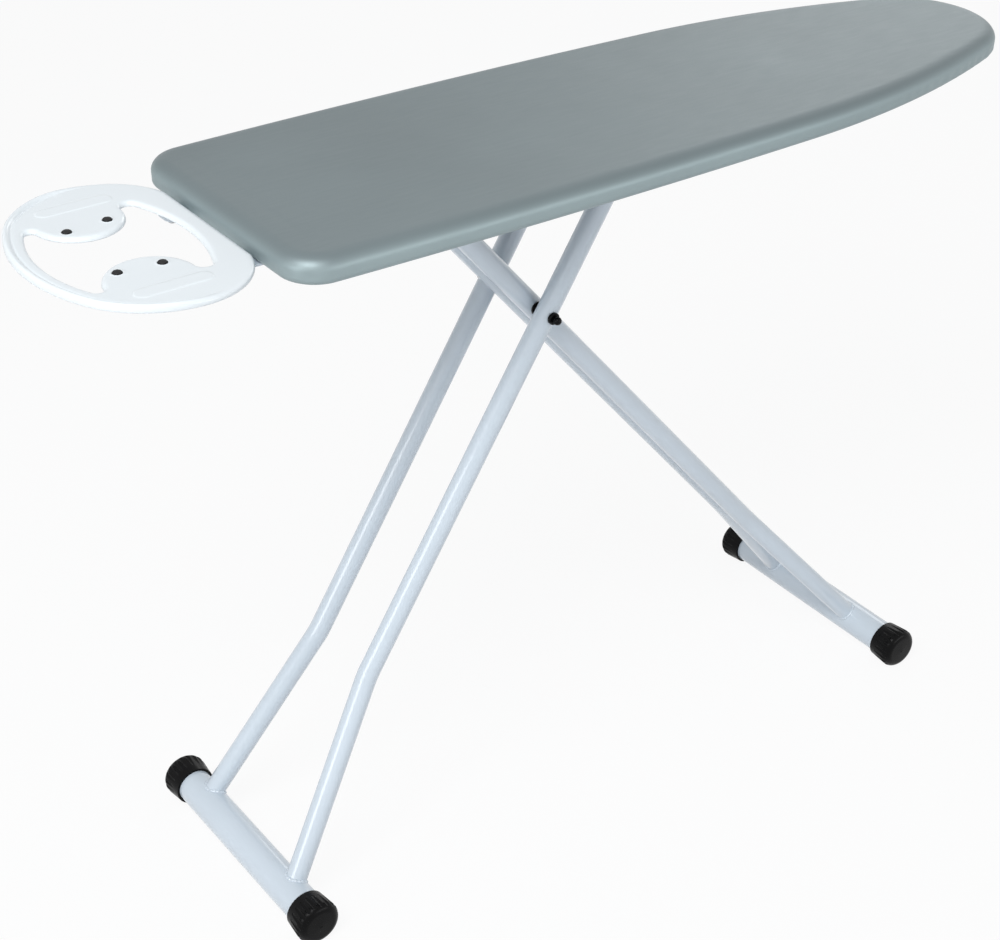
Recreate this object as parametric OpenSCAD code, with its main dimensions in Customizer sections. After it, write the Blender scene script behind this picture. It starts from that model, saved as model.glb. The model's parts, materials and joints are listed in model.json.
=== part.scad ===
// Folding ironing board with a mesh top, padded cover, iron rest, scissor
// legs and a toothed height catch.
// Axes: X runs from the iron rest (-X) to the nose (+X), Y across, Z up.
// Origin: on the floor, below the middle of the overall length.
// "left" is the +Y side, seen from the iron rest towards the nose.

/* [Board] */
// Height of the ironing surface above the floor
surface_h = 755; // [660:1:910]
// Length of the covered board, square end to nose
board_l = 945; // [780:1:1140]
// Greatest width of the covered board
board_w = 292; // [245:1:350]
// Thickness of the covered board at its edge
board_t = 26; // [24:0.5:32]
// Corner radius of the square end
corner_r = 37.5; // [25:0.5:60]
// Radius of the nose tip
nose_r = 87.7; // [70:0.1:105]
// Radius of the tapering sides behind the nose
taper_r = 1013; // [850:1:1300]
// Radius of the almost straight sides
side_r = 8930; // [6000:10:12000]
// Angle that the sides turn before the taper starts
side_turn = 2.06; // [1.5:0.01:3]

/* [Cover and pad] */
// Thickness of the cover fabric
cover_t = 1; // [0.6:0.1:1.6]
// Width of the hem that turns in under the edge
hem_w = 36; // [20:1:45]
// Thickness of the felt pad
pad_t = 6; // [4:0.5:8]
// Gap left round a soft piece
soft_gap = 0.3; // [0.2:0.05:0.5]

/* [Steel top] */
// Inset of the rim's outer face from the cover's edge
rim_inset = 5; // [4:0.5:8]
// Wall of the roll-formed rim
rim_wall = 1.5; // [1:0.1:2]
// Width of the rim's upper flange
rim_flange = 12; // [10:0.5:16]
// Width of the rim's lower lip
rim_lip = 8; // [5:0.5:10]
// Thickness of the expanded-metal sheet
mesh_t = 1.4; // [1:0.1:2]
// Length of a mesh opening, along the board
mesh_long = 40; // [30:1:50]
// Width of a mesh opening
mesh_short = 20; // [16:1:28]
// Width of a mesh strand
mesh_strand = 4; // [3:0.5:6]
// Thickness of the cross braces
brace_t = 3; // [2:0.5:4]
// Width of the cross braces
brace_w = 24; // [20:1:30]

/* [Legs] */
// Outer diameter of the leg tubes
leg_d = 22; // [19:0.5:26]
// Wall of the leg tubes
leg_wall = 1.2; // [1:0.1:1.6]
// Lean of the inner frame from the floor
inner_lean = 48.83; // [44:0.01:53]
// Lean of the outer frame from the floor
outer_lean = 58.76; // [54:0.01:63]
// Distance of the leg pivot below the ironing surface
pivot_drop = 181.5; // [160:0.5:215]
// Distance of the leg pivot from the board's square end
pivot_from_end = 333.5; // [290:0.5:380]
// Half the spacing of the inner tubes at the top
inner_half = 21.6; // [20:0.1:26]
// Gap between an inner and an outer tube at the pivot
leg_gap = 2.5; // [2:0.1:4]
// Distance from the foot tube back to the bend in a leg
bend_from_foot = 234; // [200:1:280]
// Sideways spread of an inner tube below its bend
inner_spread = 45; // [36:0.5:54]
// Sideways spread of an outer tube below its bend
outer_spread = 40.3; // [33:0.1:49]
// Centreline radius of the bends
bend_r = 90; // [60:1:120]

/* [Feet] */
// Outer diameter of the foot tubes
foot_d = 38; // [34:0.5:42]
// Wall of the foot tubes
foot_wall = 1.5; // [1.2:0.1:2]
// Bare length of the inner frame's foot tube, cap to cap
inner_foot_bare = 240; // [200:1:288]
// Bare length of the outer frame's foot tube, cap to cap
outer_foot_bare = 228; // [190:1:274]
// Length of a foot cap
cap_l = 31; // [28:1:38]
// Flare of a foot cap's outer end beyond the tube
cap_flare = 5; // [4.5:0.5:7]
// Wall of a foot cap at its mouth
cap_wall = 2.8; // [2:0.1:3.5]
// Number of flutes round a foot cap
cap_flutes = 20; // [16:1:24]
// Depth of the flutes at the outer end
flute_depth = 1.9; // [0.8:0.1:2.4]
// Depth of the flat that stands on the floor
cap_flat = 1; // [0.5:0.1:2]

/* [Pins and rails] */
// Distance of the hinge pin below the ironing surface
pin_drop = 30; // [28:0.5:36]
// Diameter of the hinge and slide rods
rod_d = 12; // [10:0.5:13]
// Thickness of the welded ears on the leg tops
ear_t = 4; // [3:0.5:5]
// Thickness of the rails
rail_t = 2; // [1.5:0.5:3]
// Gap between an outer leg and the rail beside it
rail_gap = 2.9; // [2:0.1:4]
// Diameter of the slide bushes in the rails' slots
bush_d = 14; // [14:0.5:16]
// Diameter of the pivot bolts
bolt_d = 8; // [6:0.5:9]
// Radial clearance of a rod or bolt in its hole
fit = 0.05; // [0.02:0.01:0.1]

/* [Height catch] */
// Thickness of the toothed comb
comb_t = 4; // [3:0.5:5]
// Distance between two notches
notch_pitch = 29; // [25:0.5:34]
// Number of notches
notch_count = 5; // [3:1:5]
// Reach of the handle from the board's centre line
handle_reach = 97; // [80:1:116]
// Diameter of the handle's grip
grip_d = 14; // [11:0.5:15]

/* [Iron rest] */
// Length of the iron rest along the board
rest_l = 174; // [150:0.5:190]
// Width of the iron rest
rest_w = 260; // [220:1:300]
// Gap between the rest and the board's square end
rest_gap = 6.5; // [4:0.5:10]
// Thickness of the moulded plate
rest_t = 3; // [2.5:0.5:4]
// Overall height of the rest's outer edge
rest_edge_h = 7.6; // [7:0.2:12]
// Diameter of a rubber stud on the rest
stud_d = 9; // [7:0.5:11]

/* [Hidden] */
$fn = 64;
eps = 0.01;

// Colours
cover_grey = [0.56, 0.61, 0.63];
felt_white = [0.85, 0.84, 0.80];
steel_white = [0.86, 0.89, 0.94];
plain_steel = [0.70, 0.71, 0.72];
gloss_black = [0.06, 0.06, 0.07];
rest_white = [0.93, 0.94, 0.95];

// Places along the board
total_l = board_l + rest_gap + rest_l;
nose_x = total_l / 2;
end_x = nose_x - board_l;
pivot_x = end_x + pivot_from_end;

// Outline of the board: side, taper and nose arcs that run into each other
half_w = board_w / 2;
taper_turn = acos((side_r - half_w - (side_r - taper_r) * cos(side_turn))
    / (taper_r - nose_r));
nose_cx = nose_x - nose_r;
taper_cx = nose_cx - (taper_r - nose_r) * sin(taper_turn);
taper_cy = -(taper_r - nose_r) * cos(taper_turn);
side_cx = taper_cx - (side_r - taper_r) * sin(side_turn);
side_cy = half_w - side_r;
corner_cx = end_x + corner_r;
corner_cy = side_cy + sqrt(pow(side_r - corner_r, 2) - pow(corner_cx - side_cx, 2));
corner_turn = atan2(corner_cx - side_cx, corner_cy - side_cy);
// Where each arc meets the next, on an outline moved in by d
function corner_end(d) = corner_cx + (corner_r - d) * sin(corner_turn);
function side_end(d) = side_cx + (side_r - d) * sin(side_turn);
function taper_end(d) = taper_cx + (taper_r - d) * sin(taper_turn);
// Half width of the board at x
function half_at(x) =
    x < corner_end(0) ? corner_cy + sqrt(pow(corner_r, 2) - pow(corner_cx - x, 2))
    : x < side_end(0) ? side_cy + sqrt(pow(side_r, 2) - pow(x - side_cx, 2))
    : x < taper_end(0) ? taper_cy + sqrt(pow(taper_r, 2) - pow(x - taper_cx, 2))
    : sqrt(max(0, pow(nose_r, 2) - pow(x - nose_cx, 2)));

// Levels, from the ironing surface down
hem_z = surface_h - board_t;
pad_top = surface_h - cover_t - soft_gap;
rim_top = pad_top - pad_t - soft_gap;
mesh_top = rim_top - rim_wall;
brace_top = mesh_top - mesh_t;
rail_top = brace_top - brace_t;
rim_bottom = hem_z + cover_t + 3.4;
flange_bottom = rail_top - rail_t;

// Scissor legs: the pins sit above the tubes, so that the frames lie flat
foot_r = foot_d / 2;
cap_r = foot_r + cap_flare;
foot_z = cap_r - cap_flat;
leg_r = leg_d / 2;
rod_r = rod_d / 2;
pin_off = leg_r + rod_r;
pivot_z = surface_h - pivot_drop;
pin_z = surface_h - pin_drop;
inner_upper = (pin_z - pivot_z - pin_off * cos(inner_lean)) / sin(inner_lean);
outer_upper = (pin_z - pivot_z - pin_off * cos(outer_lean)) / sin(outer_lean);
inner_lower = (pivot_z - foot_z) / sin(inner_lean);
outer_lower = (pivot_z - foot_z) / sin(outer_lean);
hinge_x = pivot_x - inner_upper * cos(inner_lean) + pin_off * sin(inner_lean);
slide_x = pivot_x + outer_upper * cos(outer_lean) - pin_off * sin(outer_lean);
outer_half = inner_half + leg_d + leg_gap;
ear_r = rod_r + 5;
bend_lap = 1;
bend_swell = 0.05;
ear_end = 9;

// Travel of the slide rod: folded flat, and raised past this height
fold_lean = 1.5;
fold_outer = asin(inner_lower * sin(fold_lean) / outer_lower);
raise = 4.8;
raise_outer = raise * (outer_lean - fold_outer) / (inner_lean - fold_lean);
function rod_at(lean_i, lean_o) = hinge_x + inner_upper * cos(lean_i)
    - pin_off * sin(lean_i) + outer_upper * cos(lean_o) - pin_off * sin(lean_o);
slide_folded = rod_at(fold_lean, fold_outer);
slide_raised = rod_at(inner_lean + raise, outer_lean + raise_outer);

// Rails and their slots
rail_y = outer_half + leg_r + rail_gap;
rail_flange = 18;
rail_x0 = hinge_x - 20;
rail_x1 = slide_folded + 24;
rail_bottom = pin_z - 14.5;
slot_x0 = slide_raised - bush_d / 2 - 1;
slot_x1 = slide_folded + bush_d / 2 + 1;
slot_bottom = pin_z - bush_d / 2 - 3.5;
slot_top = pin_z + bush_d / 2 + 5;
rod_half = rail_y + rail_t + 4.4;
clip_r = rod_r + 3.5;
clip_t = 1.5;

// Height catch
lever_x = slide_folded + 28;
lever_z = pin_z - 2;
comb_top = pin_z - rod_r - 0.6;
comb_bottom = comb_top - 5;
tooth_top = pin_z + 2;
release = 3.2;
handle_x = lever_x + 36;
handle_r = 3.5;
handle_z = lever_z + 4;
spring_x = lever_x + 18;
spring_r = 4;
spring_wire = 1.2;
spring_turns = 5;
arm_top = lever_z + 1;
boss_r = 7;
pin_r = 3;
bracket_t = 2;
bracket_gap = 0.4;

// Braces
brace_x = [end_x + 75, hinge_x - 3, slide_x + 62, lever_x + 8];
rivet_r = 2;

// Iron rest: its outline is arcs that run into each other, mirrored in Y
rest_x = -total_l / 2;
rest_z = hem_z + board_t / 2 + 0.4;
rest_right = rest_x + rest_l;
bead_h = 2.6;
bead_w = 6.5;
rest_edge_bottom = rest_z + bead_h - rest_edge_h;
rest_sweep_r = 0.66 * rest_w;
rest_left_r = 0.37 * rest_w;
rest_left_turn = asin((rest_w / 2 - rest_left_r) / (rest_sweep_r - rest_left_r));
rest_left_c = [rest_x + rest_sweep_r - (rest_sweep_r - rest_left_r) * cos(rest_left_turn),
    rest_w / 2 - rest_left_r];
rest_right_r = 0.277 * rest_w;
rest_right_c = [rest_left_c[0], rest_w / 2 - rest_right_r];
rest_corner_r = 12;
rest_corner_c = [rest_right - rest_corner_r, rest_right_c[1]
    + sqrt(max(0, pow(rest_right_r - rest_corner_r, 2)
        - pow(rest_right - rest_corner_r - rest_right_c[0], 2)))];

// Opening of the rest: two long arcs, two ears and four small end arcs
opening_left = 18;
opening_right = 155;
opening_left_r = 150;
opening_right_r = 175;
rear_end_r = 5.5;
front_end_r = 7.5;
rest_ear_r = 41.7;
ear_c = [rest_x + 84.5, 68.5];
left_arc_c = [rest_x + opening_left + opening_left_r, 0];
right_arc_c = [rest_x + opening_right - opening_right_r, 0];
// Centre of a circle that is rp from p and rq from q, on side t of the line p q
function meet(p, rp, q, rq, t) =
    let (d = norm(q - p), u = (q - p) / d, a = (rp * rp - rq * rq + d * d) / (2 * d))
    p + a * u + t * sqrt(rp * rp - a * a) * [-u[1], u[0]];
left_end_c = meet(left_arc_c, opening_left_r - rear_end_r,
    ear_c, rest_ear_r + rear_end_r, 1);
right_end_c = meet(right_arc_c, opening_right_r - front_end_r,
    ear_c, rest_ear_r + front_end_r, -1);
stud_places = [[rest_x + 64, 46.5], [rest_x + 104, 50]];
tongue_y = 58;
tongue_w = 28;
tongue_t = 2.5;
tongue_z = hem_z - soft_gap;
tongue_x0 = rest_right - 14;
screw_x = rest_right - 8;
screw_y = [tongue_y - 8, tongue_y + 8];
screw_boss_r = 5;

// ---------------------------------------------------------------- shapes

// The part of a big circle pair that lies between x0 and x1
module lens(cx, cy, r, x0, x1, n) {
    intersection() {
        translate([cx, cy]) circle(r = r, $fn = n);
        translate([cx, -cy]) circle(r = r, $fn = n);
        translate([x0, -board_w]) square([x1 - x0, 2 * board_w]);
    }
}

// Outline of the covered board, moved in by d
module board_outline(d) {
    union() {
        for (s = [1, -1])
            translate([corner_cx, s * corner_cy]) circle(r = corner_r - d, $fn = 96);
        translate([end_x + d, -corner_cy])
            square([2 * corner_r, 2 * corner_cy]);
        lens(side_cx, side_cy, side_r - d, corner_end(d), side_end(d), 1440);
        lens(taper_cx, taper_cy, taper_r - d, side_end(d) - corner_r, taper_end(d), 480);
        translate([nose_cx, 0]) circle(r = nose_r - d, $fn = 120);
    }
}

// A plate of the board's outline between two levels
module board_plate(d, z0, z1) {
    translate([0, 0, z0]) linear_extrude(z1 - z0) board_outline(d);
}

// Points where the outer tangent of two circles [x, y, r] touches them
function tangent_pair(a, b) =
    let (dx = b[0] - a[0], dy = b[1] - a[1], l = norm([dx, dy]),
         ang = atan2(dy, dx) - acos((a[2] - b[2]) / l))
    [[a[0] + a[2] * cos(ang), a[1] + a[2] * sin(ang)],
     [b[0] + b[2] * cos(ang), b[1] + b[2] * sin(ang)]];

// The rounded shape that a belt takes round circles listed anticlockwise
module belt(c) {
    n = len(c);
    union() {
        polygon([for (i = [0:n - 1]) each tangent_pair(c[i], c[(i + 1) % n])]);
        for (p = c) translate([p[0], p[1]]) circle(r = p[2]);
    }
}

// A bar along Y
module bar_y(r, y0, y1) {
    translate([0, y0, 0]) rotate([-90, 0, 0]) cylinder(r = r, h = y1 - y0);
}

// Moves to a side: +1 keeps left, -1 mirrors to the right
module side(s) {
    mirror([0, s < 0 ? 1 : 0, 0]) children();
}

// Puts a leg's own frame (X down the leg, Z towards the pins) into place
module place_inner() {
    translate([pivot_x, 0, pivot_z]) rotate([0, inner_lean, 0]) children();
}
module place_outer() {
    translate([pivot_x, 0, pivot_z]) mirror([1, 0, 0]) rotate([0, outer_lean, 0]) children();
}

// ---------------------------------------------------------------- soft top

module cover() {
    color(cover_grey)
    difference() {
        board_plate(0, hem_z, surface_h);
        board_plate(cover_t, hem_z + cover_t, surface_h - cover_t);
        board_plate(hem_w, hem_z - 1, hem_z + cover_t + eps);
    }
}

module pad() {
    color(felt_white) board_plate(rim_inset + 4, pad_top - pad_t, pad_top);
}

// ---------------------------------------------------------------- steel top

module rim() {
    color(steel_white)
    difference() {
        board_plate(rim_inset, rim_bottom, rim_top);
        board_plate(rim_inset + rim_wall, rim_bottom + rim_wall, rim_top - rim_wall);
        board_plate(rim_inset + rim_flange, rim_top - rim_wall - eps, rim_top + 1);
        board_plate(rim_inset + rim_lip, rim_bottom - 1, rim_bottom + rim_wall + eps);
    }
}

// Rows of staggered diamond openings that keep a plain border
module mesh_openings() {
    border = rim_inset + rim_flange + 3;
    a = (mesh_long - mesh_strand) / 2;
    b = (mesh_short - mesh_strand * mesh_short / mesh_long) / 2;
    rows = ceil(half_w / mesh_short);
    cols = ceil(board_l / mesh_long);
    for (j = [-2 * rows:2 * rows], i = [0:cols]) {
        x = end_x + (i + (abs(j) % 2) / 2) * mesh_long;
        y = j * mesh_short / 2;
        inside = x - a > end_x + border && x + a < nose_x - border
            && abs(y) < min(half_at(x - a), half_at(x + a)) - border
            && abs(y) + b < half_at(x) - border;
        if (inside) translate([x, y]) polygon([[-a, 0], [0, -b], [a, 0], [0, b]]);
    }
}

module top_mesh() {
    color(steel_white)
    translate([0, 0, mesh_top - mesh_t]) linear_extrude(mesh_t)
        difference() {
            board_outline(rim_inset + rim_wall + 0.5);
            mesh_openings();
        }
}

// A flat brace across the board, with two rivet holes for each rail
module brace(i, rivet_y) {
    x = brace_x[i];
    reach = min(half_at(x - brace_w / 2), half_at(x + brace_w / 2))
        - rim_inset - rim_wall - 0.3;
    color(steel_white)
    difference() {
        translate([x - brace_w / 2, -reach, rail_top]) cube([brace_w, 2 * reach, brace_t]);
        for (s = [1, -1])
            translate([x, s * rivet_y, rail_top - 1])
                cylinder(r = rivet_r + fit, h = brace_t + 2, $fn = 32);
    }
}

rail_rivet_y = rail_y + rail_t + (rail_flange - rail_t) / 2;
module brace_rear() { brace(0, tongue_y); }
module brace_hinge() { brace(1, rail_rivet_y); }
module brace_middle() { brace(2, rail_rivet_y); }
module brace_front() { brace(3, rail_rivet_y); }

// One L-shaped rail: hinge hole, long slot for the bush, riveted flange
module rail() {
    color(steel_white)
    difference() {
        union() {
            translate([rail_x0, rail_y, rail_bottom])
                cube([rail_x1 - rail_x0, rail_t, rail_top - rail_bottom]);
            translate([rail_x0, rail_y, flange_bottom])
                cube([brace_x[3] + brace_w / 2 - rail_x0, rail_flange, rail_t]);
        }
        translate([hinge_x, 0, pin_z]) bar_y(rod_r + fit, rail_y - 1, rail_y + rail_t + 1);
        translate([slot_x0, rail_y - 1, slot_bottom])
            cube([slot_x1 - slot_x0, rail_t + 2, slot_top - slot_bottom]);
        for (i = [1, 2, 3])
            translate([brace_x[i], rail_rivet_y, flange_bottom - 1])
                cylinder(r = rivet_r + fit, h = rail_t + 2, $fn = 32);
    }
}

module rail_left() { rail(); }
module rail_right() { side(-1) rail(); }

// A domed rivet, its head below and its shank up to the brace's top
module rivet(head_z) {
    translate([0, 0, head_z]) rotate_extrude()
        polygon([[0, -1.6], [2.4, -1.4], [3.8, 0], [rivet_r, 0],
            [rivet_r, brace_top - head_z - 0.1], [0, brace_top - head_z - 0.1]]);
}

module rivets() {
    color(plain_steel)
    for (s = [1, -1]) {
        for (i = [1, 2, 3])
            translate([brace_x[i], s * rail_rivet_y, 0]) rivet(flange_bottom);
        translate([brace_x[0], s * tongue_y, 0]) rivet(rail_top - tongue_t);
    }
}

// ---------------------------------------------------------------- iron rest

// Outline of the rest, moved in by d
module rest_outline(d) {
    l = concat(rest_left_c, [rest_left_r - d]);
    r = concat(rest_right_c, [rest_right_r - d]);
    corner_turn = (rest_corner_c - rest_right_c) / norm(rest_corner_c - rest_right_c);
    reach = rest_right_c + 2 * rest_right_r * corner_turn;
    union() {
        // Left arcs, up to the widest place
        intersection() {
            belt([[l[0], -l[1], l[2]], l]);
            translate([rest_x - 1, -rest_w]) square([l[0] - rest_x + 1, 2 * rest_w]);
        }
        // Right arcs, up to where the corner arcs take over
        intersection() {
            belt([[r[0], -r[1], r[2]], r]);
            for (t = [1, -1])
                polygon([[r[0] - 1, -t * eps], [r[0] - 1, t * rest_w],
                    [reach[0], t * rest_w], [reach[0], t * reach[1]],
                    [r[0], t * r[1]], [r[0], -t * eps]]);
        }
        translate([r[0] - 1, -rest_corner_c[1]])
            square([rest_right - d - r[0] + 1, 2 * rest_corner_c[1]]);
        for (t = [1, -1])
            translate([rest_corner_c[0], t * rest_corner_c[1]]) circle(r = rest_corner_r - d);
        // Long sweep of the outer end
        intersection() {
            translate([rest_x + rest_sweep_r, 0])
                circle(r = rest_sweep_r - d, $fn = 200);
            polygon([[rest_x + rest_sweep_r, 0],
                for (t = [1, -1]) [rest_x + rest_sweep_r
                    - 2 * rest_sweep_r * cos(rest_left_turn),
                    t * 2 * rest_sweep_r * sin(rest_left_turn)]]);
            translate([rest_x - 1, -rest_w]) square([rest_left_r / 2, 2 * rest_w]);
        }
    }
}

// Opening between the two ears, moved out by d
module rest_opening(d) {
    left_out = left_end_c + (left_end_c - left_arc_c) / 4;
    right_out = right_end_c + (right_end_c - right_arc_c) / 4;
    difference() {
        union() {
            intersection() {
                translate(left_arc_c) circle(r = opening_left_r + d, $fn = 160);
                translate(right_arc_c) circle(r = opening_right_r + d, $fn = 160);
                for (t = [1, -1])
                    polygon([[left_out[0], -t * eps], [left_out[0], t * left_out[1]],
                        [left_end_c[0], t * left_end_c[1]], [ear_c[0], t * ear_c[1]],
                        [right_end_c[0], t * right_end_c[1]],
                        [right_out[0], t * right_out[1]],
                        [rest_right, t * right_out[1]], [rest_right, -t * eps]]);
            }
            for (t = [1, -1]) {
                translate([left_end_c[0], t * left_end_c[1]]) circle(r = rear_end_r + d);
                translate([right_end_c[0], t * right_end_c[1]]) circle(r = front_end_r + d);
            }
        }
        for (t = [1, -1])
            translate([ear_c[0], t * ear_c[1]]) circle(r = rest_ear_r - d);
    }
}

// A ring of the rest's outline between insets d0 and d1, levels z0 and z1
module rest_ring(d0, d1, z0, z1) {
    translate([0, 0, z0]) linear_extrude(z1 - z0)
        difference() {
            rest_outline(d0);
            rest_outline(d1);
        }
}

// Everything left of a slope that runs down to the plate: where the bead stands
module bead_range(over) {
    translate([0, rest_w, 0]) rotate([90, 0, 0]) linear_extrude(2 * rest_w)
        polygon([[rest_x - 1, rest_z - 5], [rest_x - 1, rest_z + bead_h + 1],
            [rest_x + 70, rest_z + bead_h + 1], [rest_x + 135, rest_z - over],
            [rest_x + 135, rest_z - 5]]);
}

module rest_plate() {
    wall = 2.2;
    groove_w = 2.5;
    under = rest_z - rest_t;
    color(rest_white)
    difference() {
        union() {
            translate([0, 0, under]) linear_extrude(rest_t) rest_outline(0);
            rest_ring(0, wall, rest_edge_bottom, under + eps);
            intersection() {
                union() {
                    rest_ring(0, bead_w, rest_z - eps, rest_z + 0.55 * bead_h);
                    rest_ring(bead_w / 5, bead_w * 4 / 5, rest_z, rest_z + bead_h);
                }
                bead_range(0.5);
            }
            translate([0, 0, rest_edge_bottom]) linear_extrude(under - rest_edge_bottom + eps)
                difference() {
                    rest_opening(wall);
                    rest_opening(0);
                }
            for (t = [1, -1]) {
                translate([0, 0, rest_z - eps]) linear_extrude(0.8)
                    belt([[rest_x + 64, t * 91, 8], [rest_x + 120, t * 91, 8]]);
                // Oval boss that both screws of one tongue pull against
                translate([0, 0, tongue_z]) linear_extrude(under - tongue_z + eps)
                    belt([[screw_x, t * screw_y[0], screw_boss_r],
                        [screw_x, t * screw_y[1], screw_boss_r]]);
            }
        }
        // The groove beside the bead ends where the bead starts to run out
        intersection() {
            rest_ring(bead_w, bead_w + groove_w, rest_z - 1, rest_z + 1);
            translate([rest_x - 1, -rest_w, rest_z - 5]) cube([90, 2 * rest_w, 10]);
        }
        translate([0, 0, under - 10]) linear_extrude(20) rest_opening(0);
        for (t = [1, -1]) {
            for (p = stud_places)
                translate([p[0], t * p[1], rest_z - 2]) cylinder(r = stud_d / 2, h = 5);
            for (y = screw_y)
                translate([screw_x, t * y, tongue_z - 1])
                    cylinder(r = 1.7 + fit, h = 10, $fn = 32);
        }
    }
}

// Rubber studs that the hot sole plate stands on
module rest_studs() {
    color(gloss_black)
    for (s = [1, -1], p = stud_places)
        translate([p[0], s * p[1], rest_z - 2]) rotate_extrude()
            polygon([[0, 0], [stud_d / 2 - 0.1, 0], [stud_d / 2 - 0.1, 2.6],
                [stud_d / 2 - 0.8, 3.4], [0, 3.8]]);
}

// Bent strap: flat under the rest's margin and the board's edge, then up to the brace
module rest_tongue() {
    bend_x0 = end_x + hem_w + 4;
    bend_x1 = bend_x0 + 16;
    tongue_x1 = brace_x[0] + brace_w / 2;
    low = tongue_z - tongue_t;
    high = rail_top - tongue_t;
    color(steel_white)
    difference() {
        translate([0, tongue_y + tongue_w / 2, 0]) rotate([90, 0, 0]) linear_extrude(tongue_w)
            polygon([[tongue_x0, low], [bend_x0 + 1, low], [bend_x1 + 1, high],
                [tongue_x1, high], [tongue_x1, high + tongue_t],
                [bend_x1 - 1, high + tongue_t], [bend_x0 - 1, low + tongue_t],
                [tongue_x0, low + tongue_t]]);
        translate([brace_x[0], tongue_y, high - 1])
            cylinder(r = rivet_r + fit, h = tongue_t + 2, $fn = 32);
        for (y = screw_y)
            translate([screw_x, y, low - 1]) cylinder(r = 1.7 + fit, h = tongue_t + 2, $fn = 32);
    }
}

module rest_tongue_left() { rest_tongue(); }
module rest_tongue_right() { side(-1) rest_tongue(); }

module rest_screws() {
    color(plain_steel)
    for (s = [1, -1], y = screw_y)
        translate([screw_x, s * y, tongue_z - tongue_t]) rotate_extrude()
            polygon([[0, -2.2], [2.6, -2.2], [3.8, -1.2], [3.8, 0],
                [1.7, 0], [1.7, 9], [0, 10]]);
}

// ---------------------------------------------------------------- legs

// Centre line sweep of a leg: straight, one bend outwards, straight
module leg_sweep(r, top, bend_s, foot_s, y0, spread, over) {
    turn = atan2(spread, foot_s - bend_s);
    t = bend_r * tan(turn / 2);
    run = norm([spread, foot_s - bend_s]) - t;
    translate([-top - over, y0, 0]) rotate([0, 90, 0])
        cylinder(r = r, h = top + over + bend_s - t + bend_lap);
    translate([bend_s - t, y0 + bend_r, 0]) rotate([0, 0, -90])
        rotate_extrude(angle = turn, $fn = 360) translate([bend_r, 0])
            circle(r = r + bend_swell, $fn = 48);
    translate([bend_s - t, y0 + bend_r, 0]) rotate([0, 0, turn])
        translate([-bend_lap, -bend_r, 0]) rotate([0, 90, 0])
            cylinder(r = r, h = run + bend_lap);
}

// A leg tube with its welded ear, in the leg's own frame
module leg(upper, lower, half, spread) {
    bend_s = lower - bend_from_foot;
    color(steel_white)
    difference() {
        union() {
            difference() {
                leg_sweep(leg_r, upper + ear_end, bend_s, lower, half, spread, 0);
                leg_sweep(leg_r - leg_wall, upper + ear_end, bend_s, lower, half, spread, 1);
            }
            translate([-upper, half + ear_t / 2, 0]) rotate([90, 0, 0]) linear_extrude(ear_t)
                union() {
                    translate([0, pin_off]) circle(r = ear_r);
                    polygon([[-ear_end, 0], [ear_r + 14, 0], [ear_r + 14, leg_r],
                        [ear_r, pin_off], [-ear_r, pin_off], [-ear_end, leg_r]]);
                }
        }
        translate([-upper, 0, pin_off]) bar_y(rod_r + fit, half - ear_t, half + ear_t);
        bar_y(bolt_d / 2 + fit, half - leg_d, half + leg_d);
        translate([lower, 0, 0]) bar_y(foot_r, 0, half + spread + leg_d * 2);
    }
}

module inner_leg() { leg(inner_upper, inner_lower, inner_half, inner_spread); }
module outer_leg() { leg(outer_upper, outer_lower, outer_half, outer_spread); }
module inner_leg_left() { place_inner() inner_leg(); }
module inner_leg_right() { place_inner() side(-1) inner_leg(); }
module outer_leg_left() { place_outer() outer_leg(); }
module outer_leg_right() { place_outer() side(-1) outer_leg(); }

module foot_tube(bare) {
    half = bare / 2 + cap_l - 8;
    color(steel_white)
    difference() {
        bar_y(foot_r, -half, half);
        bar_y(foot_r - foot_wall, -half - 1, half + 1);
    }
}

module inner_foot_tube() { place_inner() translate([inner_lower, 0, 0]) foot_tube(inner_foot_bare); }
module outer_foot_tube() { place_outer() translate([outer_lower, 0, 0]) foot_tube(outer_foot_bare); }

// ---------------------------------------------------------------- foot caps

// Flared cap along +Z with flutes that deepen towards its end; the arc
// towards the floor (-Y here) stays plain
module foot_cap() {
    mouth_r = foot_r + cap_wall;
    round_r = 9;
    flute_r = 3;
    flute_z0 = 8;
    flute_in = mouth_r + 0.5;
    flute_out = cap_r - flute_depth;
    tilt = atan((flute_out - flute_in) / (cap_l - flute_z0));
    plain_half = 32;
    difference() {
        rotate_extrude($fn = 96)
            union() {
                polygon([[foot_r + fit, 0], [mouth_r, 0], [mouth_r + 0.4, 4],
                    [cap_r, cap_l - round_r - 0.6], [cap_r - round_r, cap_l - 0.6],
                    [0, cap_l], [0, cap_l - 7.5], [foot_r + fit, cap_l - 7.5]]);
                intersection() {
                    translate([cap_r - round_r, cap_l - round_r - 0.6])
                        circle(r = round_r, $fn = 48);
                    translate([foot_r + 1, cap_l - round_r - 0.6]) square(round_r);
                }
                intersection() {
                    translate([cap_r - round_r, cap_l - round_r - 0.6])
                        circle(r = round_r, $fn = 48);
                    translate([1, cap_l - 7.5]) square([cap_r, round_r]);
                }
            }
        for (i = [0:cap_flutes - 1]) {
            a = (i + 0.5) * 360 / cap_flutes;
            if (abs(a - 270) > plain_half)
                rotate([0, 0, a]) translate([flute_in + flute_r, 0, flute_z0])
                    rotate([0, tilt, 0]) cylinder(r = flute_r, h = cap_l, $fn = 24);
        }
    }
}

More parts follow.
